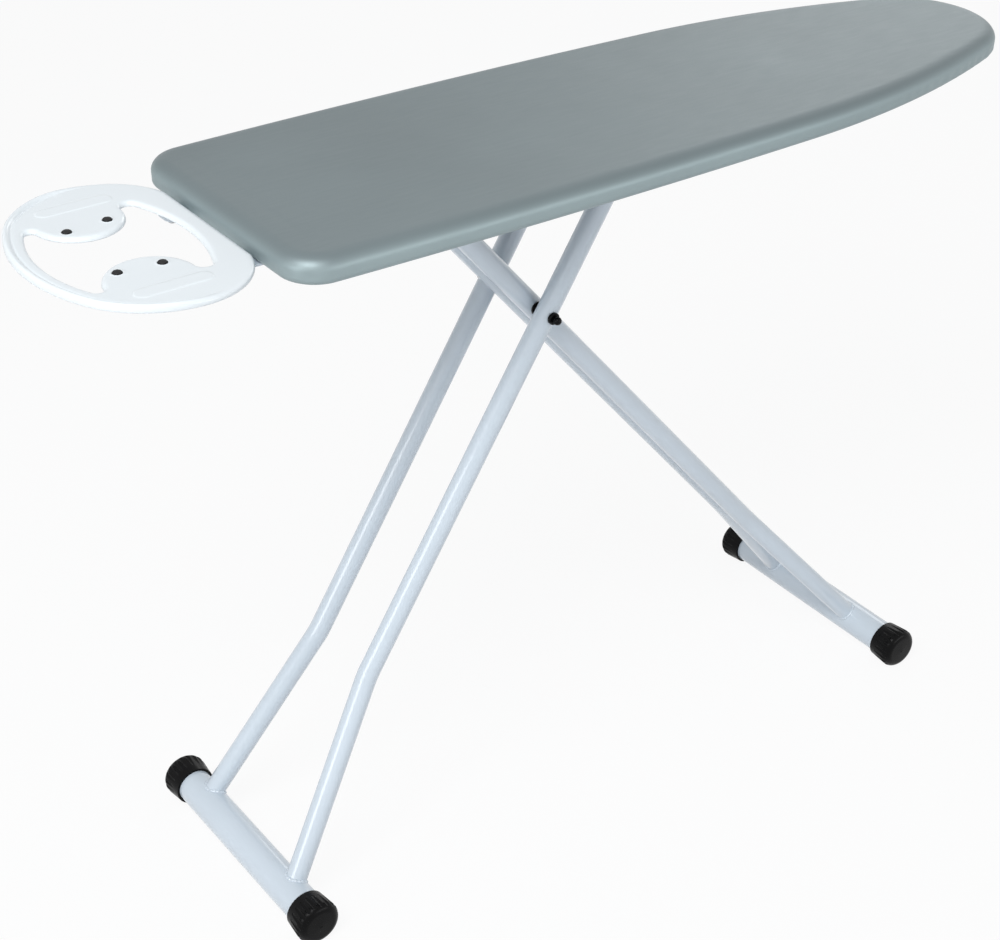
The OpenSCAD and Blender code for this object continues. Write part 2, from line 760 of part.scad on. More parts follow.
// A cap on the end of a foot tube, cut flat where it stands on the floor
module placed_cap(x, bare, s) {
    color(gloss_black)
    difference() {
        translate([x, 0, foot_z]) side(s) translate([0, bare / 2, 0])
            rotate([-90, 0, 0]) mirror([0, 1, 0]) foot_cap();
        translate([x - foot_d, -board_w, -foot_d]) cube([2 * foot_d, 2 * board_w, foot_d]);
    }
}

inner_foot_x = pivot_x + inner_lower * cos(inner_lean);
outer_foot_x = pivot_x - outer_lower * cos(outer_lean);
module foot_cap_inner_left() { placed_cap(inner_foot_x, inner_foot_bare, 1); }
module foot_cap_inner_right() { placed_cap(inner_foot_x, inner_foot_bare, -1); }
module foot_cap_outer_left() { placed_cap(outer_foot_x, outer_foot_bare, 1); }
module foot_cap_outer_right() { placed_cap(outer_foot_x, outer_foot_bare, -1); }

// ---------------------------------------------------------------- pins

module hinge_rod() {
    color(plain_steel) translate([hinge_x, 0, pin_z]) bar_y(rod_r, -rod_half, rod_half);
}
module slide_rod() {
    color(plain_steel) translate([slide_x, 0, pin_z]) bar_y(rod_r, -rod_half, rod_half);
}

// Spring-steel clips pushed onto both ends of a rod
module rod_clips(x) {
    y0 = rail_y + rail_t + 0.4 + 1.6;
    color(plain_steel)
    for (s = [1, -1]) translate([x, 0, pin_z]) side(s)
        difference() {
            bar_y(clip_r, y0, y0 + clip_t);
            bar_y(rod_r, y0 - 1, y0 + clip_t + 1);
        }
}
module hinge_rod_clips() { rod_clips(hinge_x); }
module slide_rod_clips() { rod_clips(slide_x); }

// Plastic bush in the rail's slot, with a flange on its outer side
module slide_bush(s) {
    y0 = rail_y - 1;
    y1 = rail_y + rail_t + 0.4;
    color(gloss_black) translate([slide_x, 0, pin_z]) side(s)
        difference() {
            union() {
                bar_y(bush_d / 2, y0, y1 + 1.5);
                bar_y(bush_d / 2 + 2.5, y1, y1 + 1.5);
            }
            bar_y(rod_r + fit, y0 - 1, y1 + 3);
        }
}
module slide_bush_left() { slide_bush(1); }
module slide_bush_right() { slide_bush(-1); }

bolt_in = inner_half - leg_r - 3.2;
bolt_out = outer_half + leg_r + 3;
module pivot_bolt(s) {
    color(plain_steel) translate([pivot_x, 0, pivot_z]) side(s)
        bar_y(bolt_d / 2, bolt_in, bolt_out);
}
module pivot_bolt_left() { pivot_bolt(1); }
module pivot_bolt_right() { pivot_bolt(-1); }

module pivot_spacers() {
    y0 = inner_half + leg_r;
    color(gloss_black) translate([pivot_x, 0, pivot_z]) for (s = [1, -1]) side(s)
        difference() {
            bar_y(7.5, y0 + 0.1, y0 + leg_gap - 0.1);
            bar_y(bolt_d / 2 + fit, y0 - 1, y0 + leg_gap + 1);
        }
}

module pivot_nuts() {
    color(plain_steel) translate([pivot_x, 0, pivot_z]) for (s = [1, -1]) side(s)
        difference() {
            translate([0, bolt_in, 0]) rotate([-90, 0, 0]) cylinder(r = 7, h = 3, $fn = 6);
            bar_y(bolt_d / 2, bolt_in - 1, bolt_in + 4);
        }
}

// Cap over the bolt's end: a disc with a round knob on it
module pivot_cap(s) {
    y0 = outer_half + leg_r + 0.2;
    color(gloss_black) translate([pivot_x, 0, pivot_z]) side(s)
        translate([0, y0, 0]) rotate([-90, 0, 0]) difference() {
            rotate_extrude() union() {
                polygon([[0, 0], [6.2, 0], [6.2, 2.8], [5.4, 3.6], [3.4, 3.6], [3.4, 7.4],
                    [0, 7.4]]);
                intersection() {
                    translate([0, 7.4]) circle(r = 4.3);
                    square([10, 20]);
                }
            }
            translate([0, 0, -1]) cylinder(r = bolt_d / 2 + fit, h = bolt_out - y0 + 1.2);
        }
}
module pivot_cap_left() { pivot_cap(1); }
module pivot_cap_right() { pivot_cap(-1); }

// ---------------------------------------------------------------- catch

module lever_bracket() {
    inner_y = comb_t / 2 + bracket_gap;
    color(steel_white)
    difference() {
        union() {
            translate([lever_x - 10, -inner_y - bracket_t, flange_bottom])
                cube([42, 2 * (inner_y + bracket_t), rail_t]);
            for (s = [1, -1]) side(s)
                translate([lever_x - 8, inner_y, lever_z]) {
                    cube([16, bracket_t, flange_bottom - lever_z + eps]);
                    translate([8, 0, 0]) bar_y(8, 0, bracket_t);
                }
        }
        translate([lever_x, 0, lever_z]) bar_y(pin_r + fit, -20, 20);
    }
}

module lever_pin() {
    reach = comb_t / 2 + bracket_gap + bracket_t + 1;
    color(plain_steel) translate([lever_x, 0, lever_z]) union() {
        bar_y(pin_r, -reach, reach);
        for (s = [1, -1]) side(s) bar_y(pin_r + 1.4, reach - 0.9, reach);
    }
}

// Puts the catch at its released angle, with the handle squeezed
module place_catch() {
    translate([lever_x, 0, lever_z]) rotate([0, -release, 0])
        translate([-lever_x, 0, -lever_z]) children();
}

// Toothed comb: square notches hold the rod, sloped backs let it climb in
module height_comb() {
    first = slide_x - notch_pitch;
    x0 = first - rod_r - 9;
    tooth_gap = rod_r + 0.5;
    teeth = [for (i = [notch_count - 1:-1:0])
        let (x = first + i * notch_pitch)
        each [[x + notch_pitch - tooth_gap, comb_top], [x + tooth_gap + 5, tooth_top],
            [x + tooth_gap, tooth_top], [x + tooth_gap, comb_top]]];
    color(plain_steel) place_catch()
    difference() {
        translate([0, comb_t / 2, 0]) rotate([90, 0, 0]) linear_extrude(comb_t)
            union() {
                polygon([[x0, comb_bottom], [lever_x, lever_z - boss_r],
                    [handle_x + 5, handle_z - 5.5], [handle_x + 5, handle_z],
                    [handle_x, handle_z + 5.5], [handle_x - 6, arm_top],
                    [lever_x, arm_top], [lever_x - boss_r, comb_top],
                    each teeth,
                    [first - tooth_gap, comb_top], [first - tooth_gap, tooth_top],
                    [first - tooth_gap - 4, tooth_top], [x0, comb_top]]);
                translate([lever_x, lever_z]) circle(r = boss_r);
            }
        translate([lever_x, 0, lever_z]) bar_y(pin_r + fit, -comb_t, comb_t);
        translate([handle_x, 0, handle_z]) bar_y(handle_r + fit, -comb_t, comb_t);
    }
}

module lever_rod() {
    color(plain_steel) place_catch() translate([handle_x, 0, handle_z])
        bar_y(handle_r, -handle_reach + 3, comb_t / 2 + 1.5);
}

module lever_grip() {
    grip_l = 44;
    color(gloss_black) place_catch()
        translate([handle_x, -handle_reach, handle_z]) rotate([-90, 0, 0])
        difference() {
            rotate_extrude() polygon([[0, 0], [grip_d / 2 - 2, 0], [grip_d / 2, 2.5],
                [grip_d / 2 - 0.8, grip_l / 2], [grip_d / 2, grip_l - 2.5],
                [grip_d / 2 - 2, grip_l], [0, grip_l]]);
            translate([0, 0, 3]) cylinder(r = handle_r + fit, h = grip_l);
        }
}

// Compression spring that pushes the comb's teeth up against the rod
module lever_spring() {
    z0 = arm_top + (spring_x - lever_x + spring_r) * sin(release) + spring_wire / 2 + 0.1;
    z1 = flange_bottom - spring_wire / 2 - 0.1;
    per_turn = 16;
    sides = 8;
    rings = spring_turns * per_turn;
    points = [for (i = [0:rings], k = [0:sides - 1])
        let (a = 360 * i / per_turn, b = 360 * k / sides,
             rr = spring_r - spring_wire / 2 + spring_wire / 2 * cos(b))
        [rr * cos(a), rr * sin(a),
         z0 + (z1 - z0) * i / rings + spring_wire / 2 * sin(b)]];
    faces = concat(
        [for (i = [0:rings - 1], k = [0:sides - 1])
            [i * sides + k, i * sides + (k + 1) % sides,
             (i + 1) * sides + (k + 1) % sides, (i + 1) * sides + k]],
        [[for (k = [sides - 1:-1:0]) k], [for (k = [0:sides - 1]) rings * sides + k]]);
    color(plain_steel) translate([spring_x, 0, 0]) polyhedron(points, faces);
}

// ---------------------------------------------------------------- output

cover();
pad();
top_mesh();
rim();
brace_rear();
brace_hinge();
brace_middle();
brace_front();
rail_left();
rail_right();
rivets();
rest_plate();
rest_studs();
rest_tongue_left();
rest_tongue_right();
rest_screws();
inner_leg_left();
inner_leg_right();
inner_foot_tube();
hinge_rod();
hinge_rod_clips();
outer_leg_left();
outer_leg_right();
outer_foot_tube();
slide_rod();
slide_bush_left();
slide_bush_right();
slide_rod_clips();
pivot_bolt_left();
pivot_bolt_right();
pivot_spacers();
pivot_cap_left();
pivot_cap_right();
pivot_nuts();
foot_cap_inner_left();
foot_cap_inner_right();
foot_cap_outer_left();
foot_cap_outer_right();
lever_bracket();
lever_pin();
height_comb();
lever_rod();
lever_grip();
lever_spring();
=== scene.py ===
import json
import math

import bpy
import bmesh
import numpy as np
from mathutils import Matrix, Vector, noise
from mathutils.geometry import delaunay_2d_cdt


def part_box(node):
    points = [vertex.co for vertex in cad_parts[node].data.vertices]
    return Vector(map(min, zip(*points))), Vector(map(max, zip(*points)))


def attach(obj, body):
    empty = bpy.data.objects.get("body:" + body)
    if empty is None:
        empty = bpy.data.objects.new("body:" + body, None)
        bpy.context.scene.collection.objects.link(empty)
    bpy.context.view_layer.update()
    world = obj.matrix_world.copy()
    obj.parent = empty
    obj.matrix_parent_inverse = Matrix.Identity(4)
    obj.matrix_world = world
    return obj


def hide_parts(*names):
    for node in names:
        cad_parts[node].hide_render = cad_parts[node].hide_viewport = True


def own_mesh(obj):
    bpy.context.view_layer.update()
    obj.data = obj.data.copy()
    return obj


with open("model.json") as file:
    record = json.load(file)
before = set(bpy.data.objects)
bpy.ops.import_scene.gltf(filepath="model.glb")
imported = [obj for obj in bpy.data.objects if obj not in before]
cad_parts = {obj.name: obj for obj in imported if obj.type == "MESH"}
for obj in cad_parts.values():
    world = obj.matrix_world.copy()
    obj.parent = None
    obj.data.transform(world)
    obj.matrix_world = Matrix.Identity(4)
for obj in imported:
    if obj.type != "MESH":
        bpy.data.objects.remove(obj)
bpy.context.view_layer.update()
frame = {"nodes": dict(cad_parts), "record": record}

scene = bpy.context.scene
MM = 0.001


# ------------------------------------------------------------ places from the CAD
cover_lo, cover_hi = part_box("cover")
rest_lo, rest_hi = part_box("rest_plate")
cap_lo, cap_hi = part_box("pivot_cap_left")
END_X = cover_lo.x
NOSE_X = cover_hi.x
HALF_W = cover_hi.y
TOP_Z = cover_hi.z
HEM_Z = cover_lo.z
THICK = TOP_Z - HEM_Z
PIVOT = Vector(((cap_lo.x + cap_hi.x) / 2, 0, (cap_lo.z + cap_hi.z) / 2))


# ------------------------------------------------------------ camera
CAMERA_ANGLES = (-36.10, 31.69, 1.01)
CAMERA_FROM_PIVOT = (-1.0964, -1.4285)
CAMERA_HEIGHT = 1.4918


def make_camera():
    """A camera at an azimuth, elevation and roll, placed from the scissor pivot."""
    az, el, roll = map(math.radians, CAMERA_ANGLES)
    back = Vector((math.sin(az) * math.cos(el), -math.cos(az) * math.cos(el), math.sin(el)))
    right = (-back).cross(Vector((0, 0, 1))).normalized()
    up = right.cross(-back)
    right, up = (right * math.cos(roll) + up * math.sin(roll),
                 up * math.cos(roll) - right * math.sin(roll))
    data = bpy.data.cameras.new("camera")
    cam = bpy.data.objects.new("camera", data)
    scene.collection.objects.link(cam)
    m = Matrix((right, up, back)).transposed().to_4x4()
    m.translation = Vector((PIVOT.x + CAMERA_FROM_PIVOT[0], CAMERA_FROM_PIVOT[1], CAMERA_HEIGHT))
    cam.matrix_world = m
    data.sensor_width = 36
    data.lens = 73.2
    data.shift_x = 0.0301
    data.shift_y = -0.0092
    data.clip_end = 50
    scene.camera = cam


make_camera()


# ------------------------------------------------------------ small helpers
def add_mesh(name, verts, faces):
    me = bpy.data.meshes.new(name)
    me.from_pydata([tuple(v) for v in verts], [], [tuple(f) for f in faces])
    me.validate()
    for p in me.polygons:
        p.use_smooth = True
    ob = bpy.data.objects.new(name, me)
    scene.collection.objects.link(ob)
    return ob


def finish_mesh(ob, merge):
    """Joins vertices that meet within the merge distance and turns the faces outwards."""
    bm = bmesh.new()
    bm.from_mesh(ob.data)
    bmesh.ops.remove_doubles(bm, verts=bm.verts, dist=merge)
    bmesh.ops.recalc_face_normals(bm, faces=bm.faces)
    bm.to_mesh(ob.data)
    bm.free()
    for p in ob.data.polygons:
        p.use_smooth = True


def loft(rings, closed=True, cap_start=False, cap_end=False):
    """Vertices and faces that join rings of equal length."""
    verts = [v for r in rings for v in r]
    n = len(rings[0])
    faces = []
    last = n if closed else n - 1
    for i in range(len(rings) - 1):
        for k in range(last):
            a = i * n + k
            b = i * n + (k + 1) % n
            faces.append((a, b, b + n, a + n))
    if cap_start:
        faces.append(tuple(range(n))[::-1])
    if cap_end:
        faces.append(tuple(range((len(rings) - 1) * n, len(rings) * n)))
    return verts, faces


def smoothstep(a, b, x):
    t = min(1.0, max(0.0, (x - a) / (b - a)))
    return t * t * (3 - 2 * t)


def mirrored(half):
    """A closed ring from its half that runs from the +X axis to the -X axis."""
    return half + [(x, -y, nx, -ny) for x, y, nx, ny in half[1:-1]][::-1]


# ------------------------------------------------------------ materials
def new_material(name):
    m = bpy.data.materials.new(name)
    m.use_nodes = True
    nt = m.node_tree
    return m, nt, nt.nodes["Principled BSDF"]


def link(nt, a, b):
    nt.links.new(a, b)


def tex_noise(nt, scale, detail=3, rough=0.5, stretch=None):
    co = nt.nodes.new("ShaderNodeTexCoord")
    n = nt.nodes.new("ShaderNodeTexNoise")
    n.inputs["Scale"].default_value = scale
    n.inputs["Detail"].default_value = detail
    n.inputs["Roughness"].default_value = rough
    if stretch:
        mp = nt.nodes.new("ShaderNodeMapping")
        mp.inputs["Scale"].default_value = stretch
        link(nt, co.outputs["Object"], mp.inputs["Vector"])
        link(nt, mp.outputs["Vector"], n.inputs["Vector"])
    else:
        link(nt, co.outputs["Object"], n.inputs["Vector"])
    return n


def ramp(nt, source, c0, c1, p0=0.3, p1=0.7):
    r = nt.nodes.new("ShaderNodeValToRGB")
    r.color_ramp.elements[0].position = p0
    r.color_ramp.elements[0].color = (*c0, 1)
    r.color_ramp.elements[1].position = p1
    r.color_ramp.elements[1].color = (*c1, 1)
    link(nt, source, r.inputs["Fac"])
    return r


def spread(nt, source, lo, hi):
    m = nt.nodes.new("ShaderNodeMapRange")
    m.inputs["To Min"].default_value = lo
    m.inputs["To Max"].default_value = hi
    link(nt, source, m.inputs["Value"])
    return m.outputs["Result"]


def bump(nt, height, strength, distance, normal=None):
    b = nt.nodes.new("ShaderNodeBump")
    b.inputs["Strength"].default_value = strength
    b.inputs["Distance"].default_value = distance
    link(nt, height, b.inputs["Height"])
    if normal:
        link(nt, normal, b.inputs["Normal"])
    return b.outputs["Normal"]


def srgb(r, g, b):
    def lin(c):
        c /= 255
        return c / 12.92 if c <= 0.04045 else ((c + 0.055) / 1.055) ** 2.4
    return lin(r), lin(g), lin(b)


def paint_material(name, base, rough, grain=900, depth=0.00002, coat=0.25, specular=0.5):
    """Powder coat or gloss moulding: faint orange peel and slight shade changes."""
    m, nt, bs = new_material(name)
    bs.inputs["Specular IOR Level"].default_value = specular
    n = tex_noise(nt, 7, 2)
    dark = tuple(c * 0.955 for c in base)
    link(nt, ramp(nt, n.outputs["Fac"], dark, base).outputs["Color"], bs.inputs["Base Color"])
    fine = tex_noise(nt, grain, 2)
    link(nt, spread(nt, fine.outputs["Fac"], rough * 0.85, rough * 1.15), bs.inputs["Roughness"])
    link(nt, bump(nt, fine.outputs["Fac"], 0.35, depth), bs.inputs["Normal"])
    bs.inputs["Coat Weight"].default_value = coat
    bs.inputs["Coat Roughness"].default_value = 0.08
    return m


def metal_material(name, base, rough):
    m, nt, bs = new_material(name)
    n = tex_noise(nt, 60, 4, 0.6)
    dark = tuple(c * 0.8 for c in base)
    link(nt, ramp(nt, n.outputs["Fac"], dark, base).outputs["Color"], bs.inputs["Base Color"])
    fine = tex_noise(nt, 700, 3, 0.6, (1, 0.08, 1))
    link(nt, spread(nt, fine.outputs["Fac"], rough * 0.7, rough * 1.4), bs.inputs["Roughness"])
    link(nt, bump(nt, fine.outputs["Fac"], 0.25, 0.00002), bs.inputs["Normal"])
    bs.inputs["Metallic"].default_value = 1.0
    return m


def cloth_material():
    """Metallised cotton: plain weave with a faint sheen, slow shade changes, and a painted highlight on
    the cloth over the board's edge.
    """
    m, nt, bs = new_material("cover_cloth")
    co = nt.nodes.new("ShaderNodeTexCoord")
    waves = []
    for axis in ("X", "Y"):
        w = nt.nodes.new("ShaderNodeTexWave")
        w.bands_direction = axis
        w.inputs["Scale"].default_value = 420
        w.inputs["Distortion"].default_value = 1.2
        w.inputs["Detail"].default_value = 1
        w.inputs["Detail Scale"].default_value = 0.4
        link(nt, co.outputs["Object"], w.inputs["Vector"])
        waves.append(w)
    weave = nt.nodes.new("ShaderNodeMath")
    weave.operation = "MULTIPLY"
    link(nt, waves[0].outputs["Fac"], weave.inputs[0])
    link(nt, waves[1].outputs["Fac"], weave.inputs[1])
    slub = tex_noise(nt, 240, 3, 0.6, (0.12, 1, 1))
    slow = tex_noise(nt, 5, 2)
    base = srgb(112, 124, 127)
    shade = ramp(nt, slow.outputs["Fac"], tuple(c * 0.94 for c in base), tuple(c * 1.05 for c in base))
    # painted highlight: the colour is made 1.7 times lighter where the cloth turns over the rounded edge
    # and down the sides, standing in for the light the edge catches
    painted_side_highlight = nt.nodes.new("ShaderNodeAttribute")
    painted_side_highlight.attribute_name = "painted_side_highlight"
    paler = nt.nodes.new("ShaderNodeMix")
    paler.data_type = "RGBA"
    paler.blend_type = "MULTIPLY"
    paler.inputs["B"].default_value = (1.7, 1.7, 1.68, 1)
    link(nt, painted_side_highlight.outputs["Fac"], paler.inputs["Factor"])
    link(nt, shade.outputs["Color"], paler.inputs["A"])
    link(nt, paler.outputs["Result"], bs.inputs["Base Color"])
    link(nt, spread(nt, slub.outputs["Fac"], 0.42, 0.56), bs.inputs["Roughness"])
    n1 = bump(nt, slub.outputs["Fac"], 0.10, 0.0002)
    link(nt, bump(nt, weave.outputs["Value"], 0.18, 0.0001, n1), bs.inputs["Normal"])
    bs.inputs["Metallic"].default_value = 0.45
    bs.inputs["Sheen Weight"].default_value = 0.06
    bs.inputs["Sheen Roughness"].default_value = 0.5
    return m


def felt_material():
    m, nt, bs = new_material("pad_felt")
    fibres = tex_noise(nt, 420, 6, 0.75)
    clumps = tex_noise(nt, 45, 3)
    base = srgb(214, 210, 200)
    link(nt, ramp(nt, clumps.outputs["Fac"], tuple(c * 0.85 for c in base), base).outputs["Color"],
         bs.inputs["Base Color"])
    link(nt, bump(nt, fibres.outputs["Fac"], 0.6, 0.0004), bs.inputs["Normal"])
    bs.inputs["Roughness"].default_value = 0.95
    bs.inputs["Sheen Weight"].default_value = 0.3
    return m


WHITE_STEEL = paint_material("powder_coat", srgb(200, 211, 221), 0.34, grain=900, depth=0.000012,
                             coat=0.8)
REST_WHITE = paint_material("rest_moulding", srgb(229, 236, 240), 0.30, grain=500, depth=0.00001,
                            coat=0.4)
ZINC = metal_material("zinc_plate", srgb(188, 190, 193), 0.32)
BLACK = paint_material("black_moulding", srgb(8, 8, 9), 0.27, grain=600, depth=0.00001,
                       coat=0.0, specular=0.1)
RUBBER = paint_material("stud_rubber", srgb(14, 14, 15), 0.62, grain=800, depth=0.00004,
                        coat=0.0, specular=0.3)
CLOTH = cloth_material()
FELT = felt_material()
BY_SLOT = {"white_steel": WHITE_STEEL, "rest_plastic": REST_WHITE, "zinc_steel": ZINC,
           "black_plastic": BLACK, "rubber_black": RUBBER, "cover_fabric": CLOTH,
           "felt_pad": FELT}


def dress_nodes():
    """Every CAD node takes the material of its own slot and smooth curved faces."""
    for part in frame["record"]["subparts"]:
        ob = frame["nodes"][part["node"]]
        ob.data.materials.clear()
        ob.data.materials.append(BY_SLOT[part["material_slot"]])
        ob.data.shade_smooth()
        ob.data.set_sharp_from_angle(angle=math.radians(28))


dress_nodes()


# ------------------------------------------------------------ board outline
NOSE_R = 0.0877
TAPER_R = 1.013
SIDE_R = 8.930
CORNER_R = 0.0375
SIDE_TURN = math.radians(2.06)


def board_outline(step=0.003):
    """Points and outward normals round the covered board, anticlockwise from the nose tip."""
    taper_turn = math.acos((SIDE_R - HALF_W - (SIDE_R - TAPER_R) * math.cos(SIDE_TURN))
                           / (TAPER_R - NOSE_R))
    nose_cx = NOSE_X - NOSE_R
    taper_c = (nose_cx - (TAPER_R - NOSE_R) * math.sin(taper_turn),
               -(TAPER_R - NOSE_R) * math.cos(taper_turn))
    side_c = (taper_c[0] - (SIDE_R - TAPER_R) * math.sin(SIDE_TURN), HALF_W - SIDE_R)
    ccx = END_X + CORNER_R
    ccy = side_c[1] + math.sqrt((SIDE_R - CORNER_R) ** 2 - (ccx - side_c[0]) ** 2)
    ct = math.atan2(ccx - side_c[0], ccy - side_c[1])
    quarter = math.pi / 2
    arcs = [((nose_cx, 0), NOSE_R, 0, quarter - taper_turn),
            (taper_c, TAPER_R, quarter - taper_turn, quarter - SIDE_TURN),
            (side_c, SIDE_R, quarter - SIDE_TURN, quarter - ct),
            ((ccx, ccy), CORNER_R, quarter - ct, math.pi)]
    pts = []
    for (cx, cy), r, a0, a1 in arcs:
        n = max(4, round(r * abs(a1 - a0) / min(step, r * 0.06)))
        for i in range(n):
            a = a0 + (a1 - a0) * i / n
            pts.append((cx + r * math.cos(a), cy + r * math.sin(a), math.cos(a), math.sin(a)))
    n = round(ccy / step)
    for i in range(n):
        pts.append((END_X, ccy * (1 - i / n), -1.0, 0.0))
    return mirrored(pts + [(END_X, 0.0, -1.0, 0.0)])


OUTLINE = board_outline()
LENGTHS = [0.0]
for p, q in zip(OUTLINE, OUTLINE[1:]):
    LENGTHS.append(LENGTHS[-1] + math.hypot(q[0] - p[0], q[1] - p[1]))


def offset_ring(d, z):
    return [Vector((x - nx * d, y - ny * d, z)) for x, y, nx, ny in OUTLINE]


SPINE_X = (END_X + 0.135, NOSE_X - 0.12)


def spine_point(x):
    """The point of the middle line that the rings of the top and the pad close in on."""
    return Vector((min(max(x, SPINE_X[0]), SPINE_X[1]), 0, 0))


# ------------------------------------------------------------ cover
LOW_R = 0.007
HIGH_R = 0.013
EDGE_LEAN = 1.25
HEM_W = 0.0355
CORD_INSET = 0.0335
CORD_H = 0.0016
GATHER_PITCH = 0.0095
GATHER_H = 0.0022
PUCKER_PITCH = 0.019
PUCKER_H = 0.00035
CLOTH_T = 0.0008


def edge_profile():
    """(inset, height below the top) from the hem's inner edge round the board's edge to the top."""
    rows = []
    for d in np.linspace(HEM_W, LOW_R, 12):
        rows.append((float(d), THICK))
    for a in np.linspace(9, 90, 7):
        t = math.radians(float(a))
        rows.append((LOW_R * (1 - math.sin(t)), THICK - LOW_R * (1 - math.cos(t))))
    rows += [(0.0, THICK - LOW_R - 0.0015), (0.0, THICK - LOW_R - 0.003)]
    for a in np.linspace(0, 90, 12):
        t = math.radians(float(a))
        rows.append((HIGH_R * EDGE_LEAN * (1 - math.cos(t)), HIGH_R * (1 - math.sin(t))))
    rows += [(0.0185, 0.0), (0.022, 0.0), (0.026, 0.0), (0.031, 0.0)]
    return rows


def cloth_offset(x, y, weight_side):
    """Slow waves of the tight cloth."""
    v = Vector((x, y, 0))
    slow = noise.noise(v * 9.0) * 0.00035 + noise.noise(v * 26.0 + Vector((3, 1, 7))) * 0.00012
    return slow * (0.35 + 0.65 * (1 - weight_side))


def make_cover():
    """One cloth pulled tight over the board: top, rounded edge, and a hem gathered under the edge, with
    a mask for the painted highlight on the edge and sides.
    """
    rows = edge_profile()
    rings = []
    for d, drop in rows:
        ring = []
        for (x, y, nx, ny), s in zip(OUTLINE, LENGTHS):
            px, py = x - nx * d, y - ny * d
            z = TOP_Z - drop
            nose = smoothstep(NOSE_X - 0.30, NOSE_X - 0.06, x)
            corner = math.exp(-((abs(y) - HALF_W + 0.02) ** 2 + (x - END_X - 0.012) ** 2) / 0.0012)
            pull = 0.25 + 0.75 * max(nose, corner)
            if drop >= THICK - 0.0001:
                # the hem: gathers, and the ridge of its cord
                t = smoothstep(0.010, 0.030, d)
                wave = 0.5 + 0.5 * math.sin(s * 2 * math.pi / GATHER_PITCH + 2.2 * noise.noise(
                    Vector((s * 30, 0.3, 0))))
                z += t * pull * GATHER_H * wave
                z += CORD_H * math.exp(-((d - CORD_INSET) / 0.0018) ** 2)
            elif drop > 0.010:
                # the side: faint puckers
                t = smoothstep(0.010, THICK, drop)
                wave = math.sin(s * 2 * math.pi / PUCKER_PITCH + 3 * noise.noise(Vector((s * 18, 2, 0))))
                k = t * (1 - t) * 4 * pull * PUCKER_H * (wave - 1)
                px += nx * k
                py += ny * k
            ring.append(Vector((px, py, z + (cloth_offset(px, py, 1) if drop < 0.012 else 0))))
        rings.append(ring)
    d0 = rows[-1][0]
    for u in np.linspace(0.03, 1, 26):
        ring = []
        for x, y, nx, ny in OUTLINE:
            p = Vector((x - nx * d0, y - ny * d0, 0))
            s = spine_point(p.x)
            q = p.lerp(s, float(u))
            crease = -0.00022 * math.exp(-((q.x - END_X - 0.034) / 0.0035) ** 2)
            q.z = TOP_Z + cloth_offset(q.x, q.y, 1 - min(1.0, float(u) * 4)) + crease
            ring.append(q)
        rings.append(ring)
    verts, faces = loft(rings)
    # press the waves' crests down to the CAD's top
    top = max(v.z for v in verts)
    for v in verts:
        if v.z > TOP_Z - 0.004:
            v.z -= (top - TOP_Z) * smoothstep(TOP_Z - 0.004, TOP_Z, v.z)
    ob = add_mesh("cover_cloth", verts, faces)
    finish_mesh(ob, 2e-5)
    # mask for the painted highlight: 0 on the top, rising to 1 from 13 mm below the top, over the
    # rounded edge and the sides
    painted_side_highlight = ob.data.attributes.new("painted_side_highlight", "FLOAT", "POINT")
    for i, v in enumerate(ob.data.vertices):
        painted_side_highlight.data[i].value = smoothstep(0.002, 0.013, TOP_Z - v.co.z)
    shell = ob.modifiers.new("thickness", "SOLIDIFY")
    shell.thickness = CLOTH_T
    shell.offset = -1
    ob.data.materials.append(CLOTH)
    return ob


cover = make_cover()
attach(cover, "board")
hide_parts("cover")


# ------------------------------------------------------------ pad
PAD_R = 0.003


def make_pad():
    """Flat felt with rounded edges and a slightly uneven underside."""
    lo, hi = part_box("pad")
    t = hi.z - lo.z
    d0 = HALF_W - hi.y
    turns = [math.radians(a) for a in (0, 30, 60, 90)]
    rows = [(d0 + PAD_R * (1 - math.sin(a)), lo.z + PAD_R * (1 - math.cos(a))) for a in turns]
    rows += [(d0 + PAD_R * (1 - math.cos(a)), hi.z - PAD_R * (1 - math.sin(a))) for a in turns]
    base = [offset_ring(d, z) for d, z in rows]
    rings = []
    for z, us in ((lo.z, np.linspace(1, 0.04, 12)), (hi.z, np.linspace(0.04, 1, 12))):
        part = []
        for u in us:
            ring = []
            for x, y, nx, ny in OUTLINE:
                p = Vector((x - nx * (d0 + PAD_R), y - ny * (d0 + PAD_R), 0))
                q = p.lerp(spine_point(p.x), float(u))
                q.z = z
                if z < lo.z + t / 2:
                    q.z += 0.00025 * (1 + noise.noise(q * 60))
                ring.append(q)
            part.append(ring)
        if z < lo.z + t / 2:
            rings = part + base
        else:
            rings += part
    verts, faces = loft(rings)
    ob = add_mesh("pad_felt", verts, faces)
    finish_mesh(ob, 2e-5)
    ob.data.materials.append(FELT)
    return ob


pad = make_pad()
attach(pad, "board")
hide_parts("pad")


# ------------------------------------------------------------ iron rest
REST_X = rest_lo.x
REST_L = rest_hi.x - rest_lo.x
REST_W = rest_hi.y - rest_lo.y
BEAD_H = 0.0026
REST_Z = rest_hi.z - BEAD_H


def arc_points(c, r, a0, a1, inward=False, step=0.0022):
    """Points (x, y, nx, ny) along an arc, without its last point."""
    n = max(4, round(r * abs(a1 - a0) / min(step, r * 0.14)))
    out = []
    for i in range(n):
        a = a0 + (a1 - a0) * i / n
        k = -1 if inward else 1
        out.append((c[0] + r * math.cos(a), c[1] + r * math.sin(a),
                    k * math.cos(a), k * math.sin(a)))
    return out


